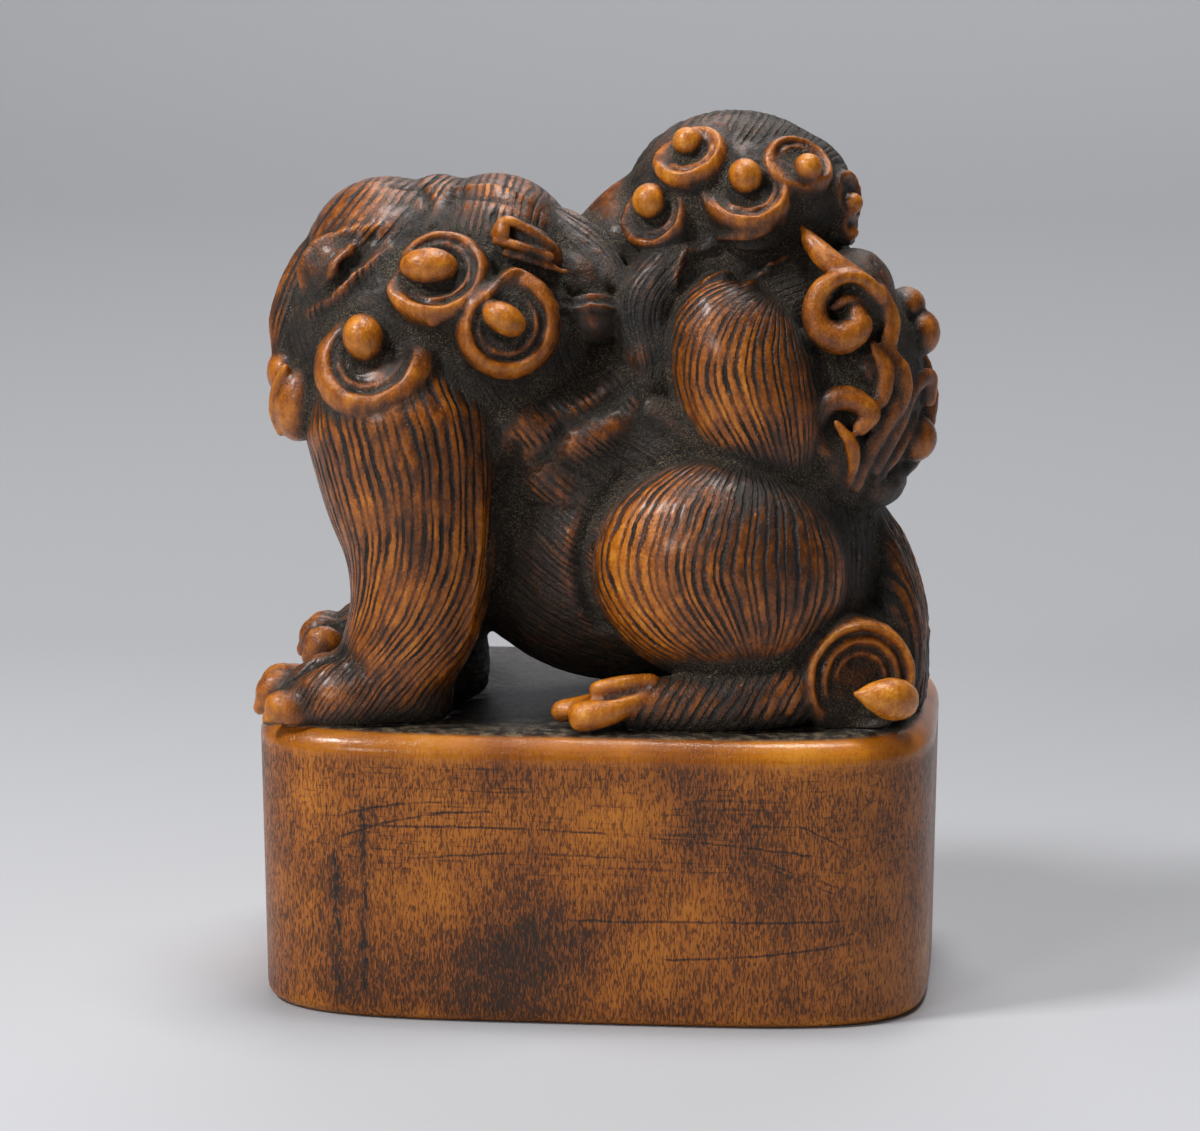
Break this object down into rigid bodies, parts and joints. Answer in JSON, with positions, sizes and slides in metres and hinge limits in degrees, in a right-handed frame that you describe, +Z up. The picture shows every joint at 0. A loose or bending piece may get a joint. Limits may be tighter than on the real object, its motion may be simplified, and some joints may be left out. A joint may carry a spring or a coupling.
{
  "type": "netsuke",
  "caption": "Carved boxwood seal netsuke: a crouching lion-dog with a cub on its back, in one with a rounded oblong plinth.",
  "frame": {"origin": "centre of the plinth's flat underside", "axes": "+Z up, +X from the lion-dog's chest towards its tail, +Y towards the side that both faces look to"},
  "size_m": [0.0322, 0.0222, 0.042],
  "materials": {
    "boxwood": "hand-carved boxwood, stained dark in the cuts and rubbed to golden brown on the high points, with a soft handled gloss"
  },
  "bodies": {
    "root": {"lion_dog_seal": "boxwood"}
  },
  "joints": []
}
